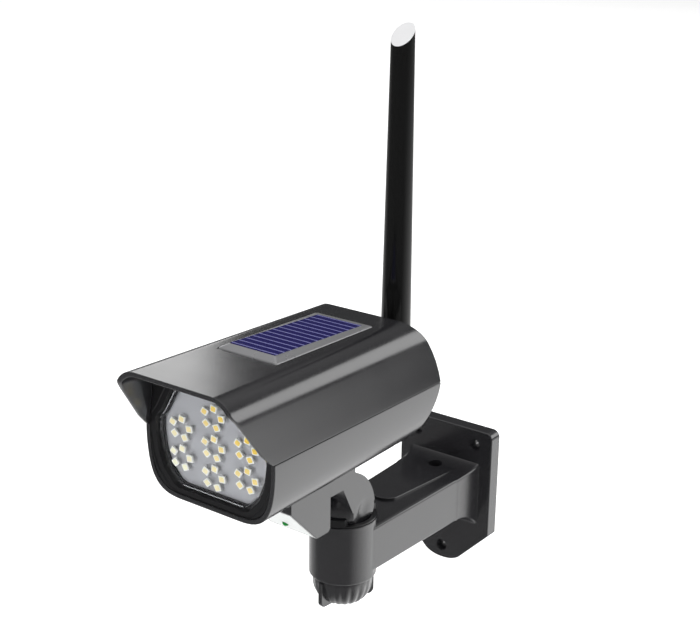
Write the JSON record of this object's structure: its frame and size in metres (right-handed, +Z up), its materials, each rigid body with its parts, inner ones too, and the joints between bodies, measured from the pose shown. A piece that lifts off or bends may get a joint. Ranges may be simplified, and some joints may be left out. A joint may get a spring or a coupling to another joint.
{
  "type": "security camera",
  "caption": "Box-shaped solar security light on a ball-jointed wall bracket, with visor, LED face, motion sensor pod, lock knob and folding antenna.",
  "frame": {"origin": "middle of the wall plate's rear face", "axes": "+Y into the wall, -Y the way the light looks, +Z up, +X to the light's left, which is the side the picture shows"},
  "size_m": [0.0952, 0.2774, 0.3825],
  "materials": {
    "shell": "smooth semi-gloss moulded ABS, dark grey",
    "black_trim": "satin black",
    "antenna": "high gloss black",
    "board_face": "satin light grey",
    "led_chip": "cream resin with yellow phosphor",
    "clear_cover": "clear polycarbonate",
    "window": "white translucent polyethylene",
    "indicator": "green lens",
    "solar_cell": "navy silicon cells with pale lines under resin",
    "solar_trim": "light grey",
    "steel": "zinc plated",
    "brass": "plain",
    "rubber": "matt silicone",
    "circuit": "solder mask",
    "sleeve": "shrink sleeve",
    "wire": "pvc insulation"
  },
  "bodies": {
    "bracket": {"wall_bracket": "shell", "clamp_nut": "brass"},
    "clamp_carriage": {"thrust_washer": "steel"},
    "lock": {"lock_knob": "shell", "clamp_screw": "steel"},
    "swivel": {"ball_cradle": "black_trim"},
    "head": {"ball_foot": "shell", "lower_housing": "shell", "top_shell": "shell", "shell_gasket": "rubber", "shell_screw_1": "steel", "shell_screw_2": "steel", "shell_screw_3": "steel", "shell_screw_4": "steel", "foot_screw_1": "steel", "foot_screw_2": "steel", "foot_screw_3": "steel", "foot_screw_4": "steel", "lens_frame": "black_trim", "front_lens": "clear_cover", "led_board": "board_face", "led_group_1": "led_chip", "led_group_2": "led_chip", "led_group_3": "led_chip", "led_group_4": "led_chip", "led_group_5": "led_chip", "led_group_6": "led_chip", "led_group_7": "led_chip", "solar_tray": "solar_trim", "solar_panel": "solar_cell", "sensor_pod": "shell", "sensor_window": "window", "indicator_lens": "indicator", "pir_sensor": "steel", "sensor_board": "circuit", "battery_1": "sleeve", "battery_2": "sleeve", "battery_holder": "black_trim", "control_board": "circuit", "mode_switch": "black_trim", "solar_lead": "wire", "led_lead": "wire", "sensor_lead": "wire", "antenna_socket": "black_trim"},
    "button": {"mode_button": "rubber"},
    "antenna_base": {"antenna_knuckle": "antenna", "knuckle_pin": "steel"},
    "antenna": {"antenna_blade": "antenna"}
  },
  "joints": [
    {"name": "head_pan", "type": "hinge", "parent": "bracket", "child": "swivel", "pos_m": [0, -0.1275, 0.0356], "axis": [0, 0, 1], "range_deg": [-90, 90]},
    {"name": "head_tilt", "type": "hinge", "parent": "swivel", "child": "head", "pos_m": [0, -0.1275, 0.0356], "axis": [1, 0, 0], "range_deg": [-20, 30]},
    {"name": "clamp_travel", "type": "slide", "parent": "bracket", "child": "clamp_carriage", "axis": [0, 0, -1], "range_m": [0, 0.0015]},
    {"name": "lock_turn", "type": "hinge", "parent": "clamp_carriage", "child": "lock", "pos_m": [0, -0.1275, -0.022], "axis": [0, 0, 1], "range_deg": [0, 360]},
    {"name": "button_press", "type": "slide", "parent": "head", "child": "button", "axis": [0, 0, 1], "range_m": [0, 0.0008], "stiffness_N_per_m": 300, "springref_m": -0.0003},
    {"name": "antenna_turn", "type": "hinge", "parent": "head", "child": "antenna_base", "pos_m": [0, -0.0745, 0.1081], "axis": [0, 1, 0], "range_deg": [-90, 90]},
    {"name": "antenna_fold", "type": "hinge", "parent": "antenna_base", "child": "antenna", "pos_m": [0, -0.0745, 0.124], "axis": [-1, 0, 0], "range_deg": [0, 90]}
  ],
  "couplings": [
    {"joint": "lock_turn", "follows": "clamp_travel", "rad_per_m": 4188.8}
  ]
}
